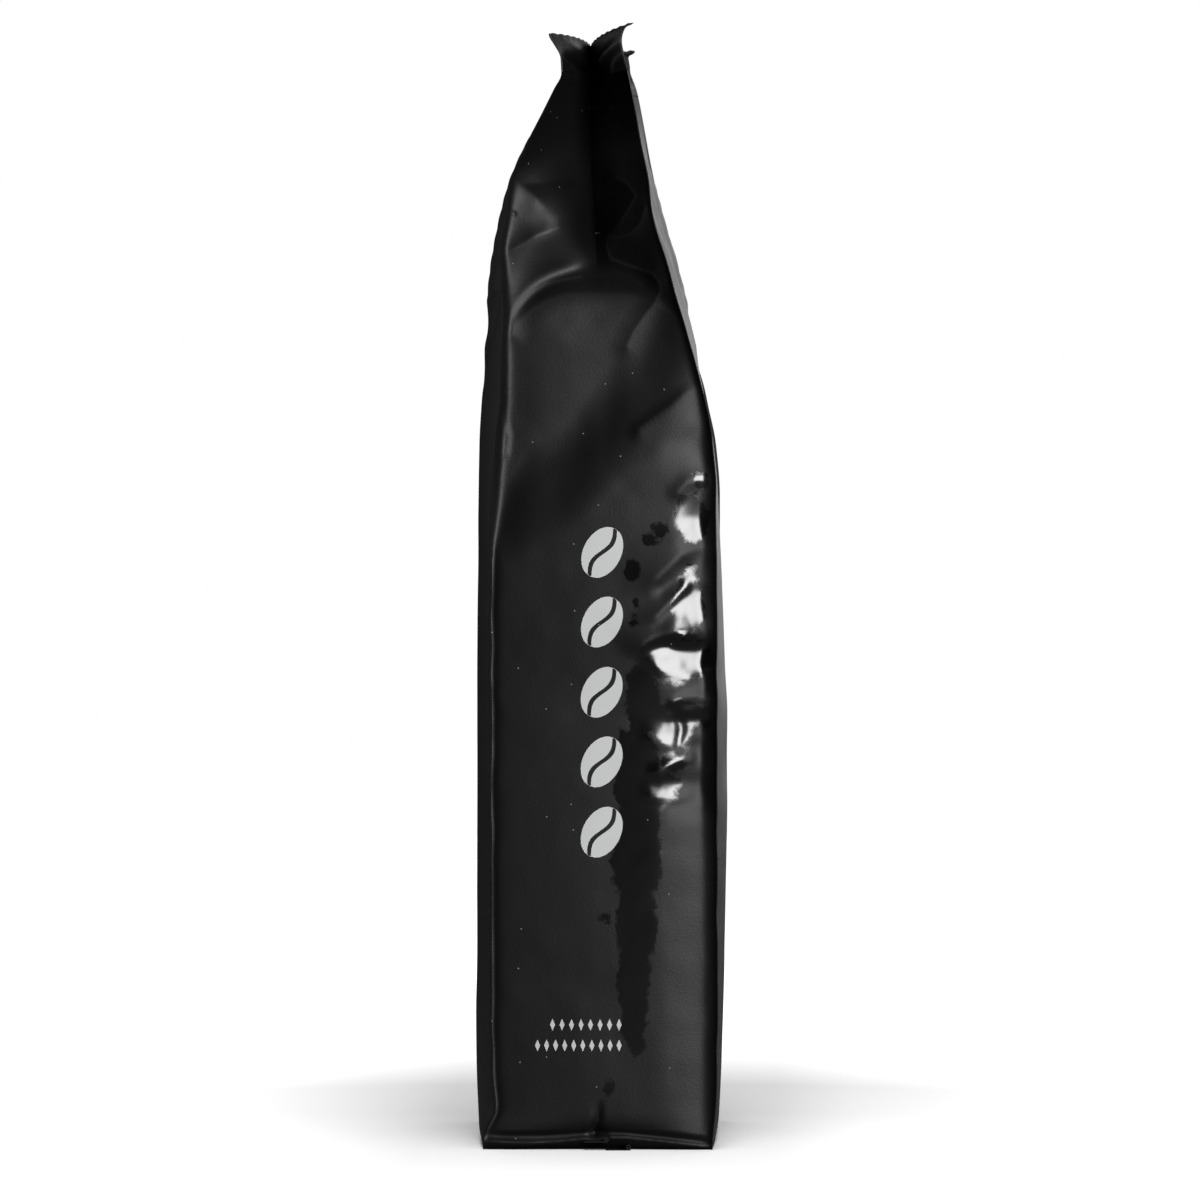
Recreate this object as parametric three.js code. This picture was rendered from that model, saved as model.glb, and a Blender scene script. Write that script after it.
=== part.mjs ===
// A filled one-kilogram coffee bag of matt film, standing on its folded base. Its two narrow
// sides are gussets: low down the beans push them flat, and towards the top they tuck inwards
// until the broad panels meet in a pressed seal, whose four corners splay out as ears.
// Millimetres. X runs across a gusset, Y across a broad panel, Z is up, and the origin is the
// middle of the footprint.

import * as THREE from "three";

// Driving dimensions
const PANEL_HALF = 65; // half of a broad panel, from fold to fold
const NECK_HEIGHT = 359; // the pressed seal begins here
const SEAL_HEIGHT = 370.3; // top of the seal in the middle of the bag
const SEAL_X = -3; // the seal leans a little to the left
const SEAL_THICKNESS = 1; // all its films pressed together
const EAR_SHARE = 0.43; // an ear starts at this share of the half panel
const TIP_HEIGHT = { near: { left: 372.7, right: 376.3 }, far: { left: 372.2, right: 376.9 } };
const FAR_TIP_IN = 2.4; // the far ears splay this much less
const FAR_LEAN = 0.8; // the far neck stands this much further right
const FOLD_PINCH = 0.7; // the pinched corner folds stand out this far
const PANEL_ROUNDNESS = 2.4; // power of the broad panels' bulge, 2 being a plain arc

// Profiles up the bag, as [height, value] stations that a smooth curve passes through.
const FOLD_X = {
  left: [
    [0, -38], [4, -38.2], [14, -34.2], [26, -35.4], [60, -35.7], [197, -35.9], [234, -34],
    [254, -32], [284, -31.2], [299, -31.5], [315, -29.6], [325, -28.4], [332, -25.2],
    [354, -14.2], [359, -11.8], [364, -12], [373, -16],
  ],
  right: [
    [0, 38.4], [13, 39.4], [26, 40.1], [220, 39.7], [237, 38.4], [256, 34.6], [280, 27.7],
    [296, 23.3], [314, 18], [324, 17], [337, 14.5], [359, 10.4], [364, 9.2], [370, 8.3],
    [374.5, 9], [376.3, 11.4],
  ],
};
const MIDDLE_X = {
  left: [
    [0, -40], [5, -41.5], [23, -42.6], [37, -42.8], [64, -42.4], [183, -42.4], [238, -41.6],
    [252, -40.9], [272, -39.2], [293, -37], [307, -34.6], [320, -31.4], [340, -22.5],
    [352, -11], [359, -4.2], [363, SEAL_X],
  ],
  right: [
    [0, 39], [5, 39.9], [37, 41.3], [90, 42.4], [117, 43], [143, 43], [163, 42], [197, 40.9],
    [223, 39.2], [240, 37.2], [255, 34.6], [280, 29.2], [296, 25.2], [314, 20], [326, 16.6],
    [340, 11], [352, 3], [359, -2.2], [363, SEAL_X],
  ],
};
const FOLD_Y = [
  [0, 62.6], [1.2, 63.9], [3.4, 64.8], [6, PANEL_HALF], [290, PANEL_HALF], [326, 64.3],
  [350, 63], [362, 62.7],
];
const TUCK_DEPTH = [
  [0, 1.4], [2, 0.8], [5, -0.2], [12, -1.3], [30, -1.7], [100, -2], [200, -2], [250, -1.6],
  [262, -1.2], [272, -0.6], [280, 0.2], [286, 1.8], [292, 7.6], [298, 13.6], [305, 17],
  [312, 20], [320, 23.3], [341, 32.9], [359, 36], [364, 35.7],
];
const TUCK_X = [[0, 1], [250, 1], [280, 0], [305, -1], [340, SEAL_X], [376, SEAL_X]];

// The tucked walls, by hand: how straight they run, and the power that hollows the rest.
const WALL_STRAIGHT = { left: 0.1, right: 0.45 };
const HOLLOW_POWER = { left: 4, right: 2.6 };
const TUCK_HOLLOWS = { left: [5, 18], right: [6, 20] }; // tuck depths over which the hollow sets in
const TUCK_DROP = { left: 16, right: 12 }; // the tuck begins this much lower at the folds

// A slanting step across a gusset: the wall lies further in above its line. Stations run
// across the gusset: the line's height, the step's width, and its steepness.
const SLANT_LINE = [
  [-34, 195], [-20.2, 201.5], [-12, 206], [-7.7, 209], [0.7, 217], [12.6, 227],
  [18.5, 231], [27, 238], [37, 245],
];
const SLANT_BAND = [[-36, 18], [-23, 24.5], [-12, 27], [-5, 29], [3, 31], [11, 34], [36, 40]];
const SLANT_STEEPNESS = [[-36, 0.2], [-23, 0.18], [-10, 0.2], [3, 0.22], [11, 0.207], [37, 0.178]];
const SLANT_RETURN = 0.5; // the share of the step that comes back out higher up
const SLANT_FADE = { left: 26, right: 4 }; // how sharply the step ends at the corner folds

// Beside the right fold the wall turns away from an edge and meets a narrow valley. Stations
// run up the bag: where the edge lies, how steeply the wall falls, and how wide the valley is.
const TURN_EDGE = [
  [0, 22], [60, 21], [108, 21], [119, 19], [123, 20], [128, 23], [136, 21], [143, 21.5],
  [147, 26], [153, 24], [158, 20.5], [167, 17], [169, 18.5], [172, 25.5], [186, 27.5],
  [190, 29.5], [200, 27], [208, 26.6], [219, 30.5], [224, 31.5], [236, 32],
];
const TURN_SLOPE = [
  [0, 0], [20, 0.05], [108, 0.07], [118, 0.18], [124, 0.22], [228, 0.22], [236, 0.12], [250, 0],
];
const TURN_EASE = 1.2; // rounds the edge
const VALLEY = [[0, 4], [124, 5], [158, 3.7], [186, 5.2], [200, 4.2], [212, 5.4], [250, 3.5]];
const HALF_GUSSET = 38; // half of a gusset, from its middle to a corner fold

// Pressed folds in the film: a line of [across, up] points, how far its crest stands out
// (inwards when negative), and how far it reaches on its two sides, seen from outside.
const GUSSET_FOLDS = [
  { line: [[-30, 324], [-20.3, 317.5], [-15.6, 310.7]], rise: 0.5, left: 6, right: 7 },
  { line: [[-13, 307.5], [-20.3, 304.8], [-31.5, 298.6]], rise: 1.4, left: 15, right: 9 },
  { line: [[-5.8, 291.6], [-17.3, 289.2], [-25.9, 282.8], [-28.2, 272]], rise: 0.6, left: 6, right: 6 },
  {
    line: [[5.8, 325], [13, 318], [3, 304], [5, 297], [18.3, 292.5], [20.4, 289.8]],
    rise: 1.6, left: 12, right: 6,
  },
  { line: [[18.3, 292.5], [21.4, 286.6], [10, 268]], rise: 0.6, left: 8, right: 6 },
  { line: [[36, 254], [29, 251.5], [14, 240]], rise: 0.7, left: 7, right: 4 },
  { line: [[20, 190.5], [28.5, 198.8], [37, 200.8]], rise: 1.2, left: 16, right: 6 },
  { line: [[15.5, 168.6], [24.5, 172.4], [37, 173.5]], rise: 1.1, left: 12, right: 5 },
  { line: [[20, 161], [28, 157.6], [37, 160.8]], rise: 1.6, left: 60, right: 7.5 },
  { line: [[25, 149.2], [36.5, 150.8]], rise: 0.9, left: 4, right: 4 },
  { line: [[20, 126.3], [31, 130.4]], rise: 0.9, left: 4, right: 5 },
  { line: [[-38, 5], [38, 5]], rise: -1.2, left: 2, right: 3 },
];
const PANEL_FOLDS = [
  { line: [[-40, 346], [-21, 322], [-12, 292]], rise: 1.6, left: 12, right: 10 },
  { line: [[38, 344], [24, 318], [8, 286]], rise: 1.5, left: 11, right: 13 },
  { line: [[3, 354], [-2, 330]], rise: -2, left: 10, right: 10 },
  { line: [[-58, 306], [-30, 282], [2, 270]], rise: 0.9, left: 10, right: 12 },
  { line: [[56, 292], [34, 268], [12, 262]], rise: -1.4, left: 11, right: 9 },
];

// Round dents, each [across, up, half width, half height, depth].
const GUSSET_DENTS = [[0.5, 310, 5, 9, 5]];
const PANEL_DENTS = [
  [-34, 236, 16, 10, 1.2],
  [30, 196, 18, 12, 1],
  [-12, 128, 22, 10, 0.8],
];

// The grid: shares along half a gusset or an ear, from its inner end to the corner fold, and
// bands of rows up the bag, each [top height, rows].
const SHARES = [0, 0.1, 0.22, 0.34, 0.46, 0.58, 0.7, 0.8, 0.887, 0.95, 1];
const MIDDLE_STEPS = 5;
const ROW_BANDS = [
  [1.6, 1], [6.4, 3], [110, 8], [232, 19], [335, 20], [NECK_HEIGHT, 5], [SEAL_HEIGHT, 3],
];
const LEVELS = [0];
for (const [top, rows] of ROW_BANDS) {
  const start = LEVELS[LEVELS.length - 1];
  for (let row = 1; row <= rows; row++) LEVELS.push(start + ((top - start) * row) / rows);
}

const mix = (a, b, share) => a + (b - a) * share;
const smooth = THREE.MathUtils.smoothstep;

// A curve through [at, value] stations that never swings past them: cubic pieces whose slopes
// are the harmonic means of their neighbours'.
function follow(stations, at) {
  const last = stations.length - 1;
  if (at <= stations[0][0]) return stations[0][1];
  if (at >= stations[last][0]) return stations[last][1];
  const rise = (k) => (stations[k + 1][1] - stations[k][1]) / (stations[k + 1][0] - stations[k][0]);
  const slope = (k) => {
    if (k === 0 || k === last) return 0;
    const before = rise(k - 1);
    const after = rise(k);
    return before * after <= 0 ? 0 : (2 * before * after) / (before + after);
  };
  const k = stations.findIndex(([height]) => height > at) - 1;
  const span = stations[k + 1][0] - stations[k][0];
  const t = (at - stations[k][0]) / span;
  const bend = slope(k) * (1 - t) - slope(k + 1) * t;
  const ease = t * t * (3 - 2 * t);
  return mix(stations[k][1], stations[k + 1][1], ease) + span * t * (1 - t) * bend;
}

// How far a fold lifts the film at a point: a crest along its line that falls off as a cusp.
function foldLift({ line, rise, left, right }, across, up) {
  let lift = 0;
  for (let k = 0; k + 1 < line.length; k++) {
    const [fromAcross, fromUp] = line[k];
    const alongAcross = line[k + 1][0] - fromAcross;
    const alongUp = line[k + 1][1] - fromUp;
    const toAcross = across - fromAcross;
    const toUp = up - fromUp;
    const length = alongAcross ** 2 + alongUp ** 2;
    const t = THREE.MathUtils.clamp((toAcross * alongAcross + toUp * alongUp) / length, 0, 1);
    const distance = Math.hypot(toAcross - t * alongAcross, toUp - t * alongUp);
    const reach = alongAcross * toUp - alongUp * toAcross > 0 ? left : right;
    lift = Math.max(lift, Math.max(0, 1 - distance / reach) ** 2);
  }
  return rise * lift;
}

function dentLift([atAcross, atUp, halfWidth, halfHeight, depth], across, up) {
  const away = ((across - atAcross) / halfWidth) ** 2 + ((up - atUp) / halfHeight) ** 2;
  return -depth * Math.exp(-away);
}

// All folds and dents together, faded out towards the pinched corner folds and the neck.
function relief(folds, dents, across, up, cornerShare) {
  let lift = 0;
  for (const fold of folds) lift += foldLift(fold, across, up);
  for (const dent of dents) lift += dentLift(dent, across, up);
  return lift * (1 - cornerShare ** 8) * (1 - smooth(up, 340, NECK_HEIGHT));
}

// How far a gusset lies in above its slanting line: a smooth step, measured at right angles to
// the line, of which a share comes back higher up. It fades towards the corner folds.
function slantDepth(across, up, share) {
  const above = (up - follow(SLANT_LINE, across)) * 0.75;
  const band = follow(SLANT_BAND, across);
  const step = follow(SLANT_STEEPNESS, across) * band * smooth(above, -1.5, band);
  const delay = 12 * smooth(across, -10, 40);
  const back = 1 - SLANT_RETURN * smooth(up, 236 + delay, 276 + delay);
  const fade = 1 - share ** SLANT_FADE[across < 1 ? "left" : "right"];
  return step * back * fade * (1 - smooth(up, 290, 345));
}

// The fall beside the right fold: an eased ramp from the edge, met by the valley's far wall,
// which climbs straight to the fold.
function turnDepth(across, up, share) {
  const ramp = TURN_EASE * Math.log1p(Math.exp((across - follow(TURN_EDGE, up)) / TURN_EASE));
  const out = ((1 - share) * HALF_GUSSET) / follow(VALLEY, up);
  return (follow(TURN_SLOPE, up) * ramp * out) / (1 + out ** 8) ** (1 / 8);
}

// One corner fold at a level. side is near (-1) or far (1), hand is left (-1) or right (1).
// It gives the foot of the pinched fold and its crest's two edges, towards the gusset and the
// panel.
function corner(level, side, hand) {
  const sideName = side < 0 ? "near" : "far";
  const handName = hand < 0 ? "left" : "right";
  const tip = TIP_HEIGHT[sideName][handName];
  const stretch = (tip - NECK_HEIGHT) / (SEAL_HEIGHT - NECK_HEIGHT);
  const z = level <= NECK_HEIGHT ? level : NECK_HEIGHT + (level - NECK_HEIGHT) * stretch;
  const drawnIn = side > 0 ? FAR_TIP_IN * smooth(z, 370, 377) : 0;
  const lean = side > 0 ? FAR_LEAN * (smooth(z, 300, 335) - smooth(z, 355, 366)) : 0;
  const x = follow(FOLD_X[handName], z) + lean - hand * drawnIn;
  const y = side * follow(FOLD_Y, z);
  const sealed = smooth(z, 335, NECK_HEIGHT);
  const pinch = FOLD_PINCH * Math.SQRT1_2 * (1 - sealed) * smooth(z, 0, 6);
  const outX = (hand * mix(Math.SQRT1_2, 0.94, sealed) * SEAL_THICKNESS) / 2;
  const outY = (side * mix(Math.SQRT1_2, 0.34, sealed) * SEAL_THICKNESS) / 2;
  return {
    place: [x - hand * pinch, y - side * pinch, z],
    gussetEdge: [x - outX, y + outY, z],
    panelEdge: [x + outX, y - outY, z],
  };
}

// A point on a gusset, at a share of the way from its centre line to the corner fold.
function gussetPoint(level, side, hand, share) {
  const fold = corner(level, side, hand);
  if (share === 1) return fold.gussetEdge;
  const [foldX, foldY, foldZ] = fold.place;
  const handSeen = side * hand > 0 ? "left" : "right";
  const centreX = follow(TUCK_X, level);
  const width = Math.abs(foldX - centreX);
  const tuck = follow(TUCK_DEPTH, level + TUCK_DROP[handSeen] * share ** 3);
  const straight = mix(WALL_STRAIGHT[handSeen], 1, smooth(level, 311, 333));
  const hollow = mix((1 - share) ** HOLLOW_POWER[handSeen], 1 - share, straight);
  const inwards = mix(1 - share ** 2, hollow, smooth(tuck, ...TUCK_HOLLOWS[handSeen]));
  const length = Math.hypot(width, tuck);
  const offset = (SEAL_THICKNESS / 2) * smooth(level, 320, 355);
  const aside = Math.min(1, share / SHARES[1]);
  const x = mix(centreX, foldX, share) - (offset * aside * hand * tuck) / length;
  const y = foldY - side * tuck * inwards + offset * side * mix(1, width / length, aside);
  const z = mix(Math.min(level, foldZ), foldZ, share);
  const across = side < 0 ? x : -x;
  const turned = handSeen === "right" ? turnDepth(across, z, share) : 0;
  const lift = relief(GUSSET_FOLDS, GUSSET_DENTS, across, z, share);
  return [x, y + side * (lift - slantDepth(across, z, share) - turned), z];
}

// A point on a broad panel, at a place from -1 (near fold) through 0 (middle) to 1 (far fold).
function panelPoint(level, hand, place) {
  const side = place < 0 ? -1 : 1;
  const share = Math.abs(place);
  const fold = corner(level, side, hand);
  if (share === 1) return fold.panelEdge;
  const [foldX, foldY, foldZ] = fold.place;
  const middleX = follow(MIDDLE_X[hand < 0 ? "left" : "right"], level);
  const earShare = Math.max(0, (share - EAR_SHARE) / (1 - EAR_SHARE));
  const sealed = smooth(level, 330, NECK_HEIGHT);
  const towardsFold = mix(share ** PANEL_ROUNDNESS, earShare, sealed);
  const x = mix(middleX, foldX, towardsFold) + (hand * SEAL_THICKNESS * smooth(level, 320, 355)) / 2;
  const y = foldY * share;
  const z = mix(Math.min(level, foldZ), foldZ, earShare);
  const across = hand * y;
  return [x + hand * relief(PANEL_FOLDS, PANEL_DENTS, across, z, share), y, z];
}

// The closed loop of one level, going round anticlockwise from the near left fold.
function ring(level) {
  const inwards = [...SHARES].reverse();
  const earPlace = (share) => mix(EAR_SHARE, 1, share);
  const gusset = (side) => [
    ...inwards.map((share) => gussetPoint(level, side, side, share)),
    ...SHARES.slice(1).map((share) => gussetPoint(level, side, -side, share)),
  ];
  const panel = (hand) => {
    const middle = [];
    for (let step = 1; step < MIDDLE_STEPS; step++) {
      middle.push(mix(-EAR_SHARE, EAR_SHARE, step / MIDDLE_STEPS));
    }
    const places = [...inwards.map((s) => -earPlace(s)), ...middle, ...SHARES.map((s) => earPlace(s))];
    return places.map((place) => panelPoint(level, hand, hand * place));
  };
  return [...gusset(-1), ...panel(1), ...gusset(1), ...panel(-1)];
}

// Where the runs of a ring start, so that the end caps can join opposite points.
const HALF = SHARES.length - 1;
const GUSSET_COUNT = 2 * HALF + 1;
const PANEL_COUNT = 2 * HALF + 1 + MIDDLE_STEPS;
const RING_COUNT = 2 * (GUSSET_COUNT + PANEL_COUNT);
const onGusset = (side, hand, k) => (side < 0 ? 0 : GUSSET_COUNT + PANEL_COUNT) + HALF - k * side * hand;
const onPanel = (hand, side, k) =>
  (hand > 0 ? GUSSET_COUNT : 2 * GUSSET_COUNT + PANEL_COUNT) +
  (side * hand < 0 ? HALF - k : HALF + MIDDLE_STEPS + k);
const acrossMiddle = (hand, step) =>
  (hand > 0 ? GUSSET_COUNT + HALF + step : 2 * GUSSET_COUNT + PANEL_COUNT + HALF + MIDDLE_STEPS - step);

function bagGeometry() {
  const rings = LEVELS.map(ring);
  const positions = rings.flat(2);
  const faces = [];
  const quad = (a, b, c, d) => faces.push(a, b, c, a, c, d);
  for (let row = 0; row + 1 < rings.length; row++) {
    for (let k = 0; k < RING_COUNT; k++) {
      const next = (k + 1) % RING_COUNT;
      const low = row * RING_COUNT;
      quad(low + k, low + next, low + RING_COUNT + next, low + RING_COUNT + k);
    }
  }
  const cap = (start, up) => {
    const flat = (...corners) => {
      const [a, b, c, d] = (up ? corners : corners.reverse()).map((k) => start + k);
      if (d === undefined) faces.push(a, b, c);
      else quad(a, b, c, d);
    };
    for (const side of [-1, 1]) {
      for (const hand of [-1, 1]) {
        for (let k = 0; k < HALF; k++) {
          const strip = [
            onPanel(hand, side, k + 1), onGusset(side, hand, k + 1),
            onGusset(side, hand, k), onPanel(hand, side, k),
          ];
          flat(...(side * hand > 0 ? strip : strip.reverse()));
        }
      }
      flat(onGusset(side, 1, 0), onPanel(-side, side, 0), onPanel(side, side, 0));
    }
    for (let step = 0; step < MIDDLE_STEPS; step++) {
      flat(
        acrossMiddle(-1, step), acrossMiddle(1, step),
        acrossMiddle(1, step + 1), acrossMiddle(-1, step + 1),
      );
    }
  };
  cap(0, false);
  cap((rings.length - 1) * RING_COUNT, true);
  const geometry = new THREE.BufferGeometry();
  geometry.setAttribute("position", new THREE.Float32BufferAttribute(positions, 3));
  geometry.setIndex(faces);
  geometry.computeVertexNormals();
  return geometry;
}

const film = new THREE.MeshStandardMaterial({ color: 0x17171a, roughness: 0.45, metalness: 0 });
const bag = new THREE.Mesh(bagGeometry(), film);
bag.name = "bag";

const group = new THREE.Group();
group.add(bag);

export default group;
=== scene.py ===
import math

import bmesh
import bpy
import numpy as np
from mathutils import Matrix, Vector


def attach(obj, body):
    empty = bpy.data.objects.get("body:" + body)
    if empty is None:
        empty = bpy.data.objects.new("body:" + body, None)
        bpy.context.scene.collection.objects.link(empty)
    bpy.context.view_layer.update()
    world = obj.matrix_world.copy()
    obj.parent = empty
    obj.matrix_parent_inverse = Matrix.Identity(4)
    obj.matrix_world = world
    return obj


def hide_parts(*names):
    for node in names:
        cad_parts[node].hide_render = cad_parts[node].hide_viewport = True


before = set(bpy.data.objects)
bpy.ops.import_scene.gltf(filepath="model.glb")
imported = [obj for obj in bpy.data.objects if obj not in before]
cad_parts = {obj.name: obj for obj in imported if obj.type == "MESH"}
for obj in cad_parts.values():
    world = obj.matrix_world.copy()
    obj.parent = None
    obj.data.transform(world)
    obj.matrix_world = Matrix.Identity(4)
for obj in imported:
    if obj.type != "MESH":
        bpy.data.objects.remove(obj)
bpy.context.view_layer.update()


# ------------------------------------------------------------------------------------------
# The film of the bag. Black laminate is folded into two broad panels and two gussets that meet
# in four pinched corner folds; the beans push the gussets flat low down, and towards the neck
# they tuck in between the panels. It is one closed loft, worked out level by level.

# Millimetres. Keys are hands, left -1 and right 1: the bag's own in its profiles and tips, and
# those of a gusset seen from outside in all else.
MM = 0.001
HALF_GUSSET = 38.0  # from the middle of a gusset to a corner fold
HALF_PANEL = 65.0  # from the middle of a broad panel to a corner fold
NECK_HEIGHT = 359.0  # the pressed seal begins here
SEAL_HEIGHT = 370.3  # its top in the middle of the bag
SEAL_X = -3.0  # it leans a little to the left
SEAL_THICKNESS = 0.4
EAR_SHARE = 0.43  # an ear starts at this share of the half panel
TIP_HEIGHT = {(-1, -1): 372.7, (-1, 1): 376.3, (1, -1): 372.2, (1, 1): 376.9}  # by (side, hand)
FAR_TIP_IN = 2.4  # the far ears splay this much less
FAR_LEAN = 0.8  # the far neck stands this much further right
FOLD_PINCH = 0.7  # the pinched corner folds stand out this far
PINCH_REACH = 0.55  # and their crests fall off over this distance
PANEL_ROUNDNESS = 2.4  # power of the broad panels' bulge, 2 being a plain arc
PRESSED_FROM = 335.0  # from here to the neck the folds are pressed flat
PRESSED_X, PRESSED_Y = 0.94, 0.34  # the way their skins then face
FOLD_UNREST = 0.22  # the corner folds waver by so much
RELIEF_ENDS, RUB_AND_GLINT_ENDS = 340.0, (350.0, 358.0)  # where pressed folds, and the crests' rubbed wear and painted glint, fade out
SKINS_PART = (320.0, 355.0)  # over these heights the tucked skins part by their thickness

# The tucked walls, by hand: how straight they run and where they turn quite straight, the power
# that hollows the rest, the tuck depths over which the hollow sets in, and how much lower the
# tuck begins at the folds.
WALL_STRAIGHT = {-1: 0.1, 1: 0.45}
WALL_STRAIGHTENS = (311.0, 333.0)
HOLLOW_POWER = {-1: 4.0, 1: 2.6}
TUCK_HOLLOWS = {-1: (5.0, 18.0), 1: (6.0, 20.0)}
TUCK_DROP = {-1: 16.0, 1: 12.0}

# Profiles up the bag: [height, value] stations of the corner folds, the panel middles, the
# folds' distance from the middle and the gussets' tuck.
FOLD_X = {
    -1: [[0, -38], [4, -38.2], [14, -34.2], [26, -35.4], [60, -35.7], [197, -35.9], [234, -34],
         [254, -32], [284, -31.2], [299, -31.5], [315, -29.6], [325, -28.4], [332, -25.2],
         [354, -14.2], [359, -11.8], [364, -12], [373, -16]],
    1: [[0, 38.4], [13, 39.4], [26, 40.1], [220, 39.7], [237, 38.4], [256, 34.6], [280, 27.7],
        [296, 23.3], [314, 18], [324, 17], [337, 14.5], [359, 10.4], [364, 9.2], [370, 8.0],
        [374.6, 9.2], [376.3, 12]],
}
MIDDLE_X = {
    -1: [[0, -40], [5, -41.5], [23, -42.6], [37, -42.8], [64, -42.4], [183, -42.4],
         [238, -41.6], [252, -40.9], [272, -39.2], [293, -37], [307, -34.6], [320, -31.4],
         [340, -22.5], [352, -11], [359, -4.2], [363, SEAL_X]],
    1: [[0, 39], [5, 39.9], [37, 41.3], [90, 42.4], [117, 43], [143, 43], [163, 42],
        [197, 40.9], [223, 39.2], [240, 37.2], [255, 34.6], [280, 29.2], [296, 25.2],
        [314, 20], [326, 16.6], [340, 11], [352, 3], [359, -2.2], [363, SEAL_X]],
}
FOLD_Y = [[0, 62.6], [1.2, 63.9], [3.4, 64.8], [6, 65], [290, 65], [326, 64.3], [350, 63], [362, 62.7]]
TUCK_DEPTH = [[0, 1.4], [2, 0.8], [5, -0.2], [12, -1.3], [30, -1.7], [100, -2], [200, -2],
              [250, -1.6], [262, -1.2], [272, -0.6], [280, 0.2], [286, 1.8], [292, 7.6], [298, 13.6],
              [305, 17], [312, 20], [320, 23.3], [341, 32.9], [359, 36], [364, 35.7]]
TUCK_X = [[0, 1], [250, 1], [280, 0], [305, -1], [340, SEAL_X], [376, SEAL_X]]


def follow(stations, at):
    """A curve through [at, value] stations that never swings past them: between two stations
    a cubic whose end slopes are the harmonic means of the slopes on both sides."""
    x, y = np.array(stations, float).T
    rise = np.diff(y) / np.diff(x)
    agree = rise[:-1] * rise[1:] > 0
    inner = np.where(agree, 2 * rise[:-1] * rise[1:] / np.where(agree, rise[:-1] + rise[1:], 1), 0)
    slope = np.concatenate([[0], inner, [0]])
    at = np.clip(at, x[0], x[-1])
    k = np.clip(np.searchsorted(x, at, side="right") - 1, 0, len(x) - 2)
    span = x[k + 1] - x[k]
    t = (at - x[k]) / span
    bend = slope[k] * (1 - t) - slope[k + 1] * t
    return y[k] + (y[k + 1] - y[k]) * t * t * (3 - 2 * t) + span * t * (1 - t) * bend


def smooth(value, low, high):
    """0 below low, 1 above high, and the cubic 3t^2 - 2t^3 between them."""
    t = np.clip((value - low) / (high - low), 0, 1)
    return t * t * (3 - 2 * t)


def mix(a, b, share):
    """The point that lies a share of the way from a to b."""
    return a + (b - a) * share


def unrest(across, up, size, seed):
    """Soft random swells from -1 to 1: random heights on a square lattice of the given size,
    joined by cubic eases in both directions. The lattice is shifted, so that none of its
    corners falls on the origin, and it repeats after 64 cells."""
    heights = np.random.default_rng(seed).uniform(-1, 1, (64, 64))
    a, b = across / size + 97.3, up / size + 41.7
    i, j = np.floor(a).astype(int), np.floor(b).astype(int)
    s, t = smooth(a - i, 0, 1), smooth(b - j, 0, 1)
    corner_height = lambda di, dj: heights[(i + di) % 64, (j + dj) % 64]
    low = mix(corner_height(0, 0), corner_height(1, 0), s)
    high = mix(corner_height(0, 1), corner_height(1, 1), s)
    return mix(low, high, t)
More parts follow.
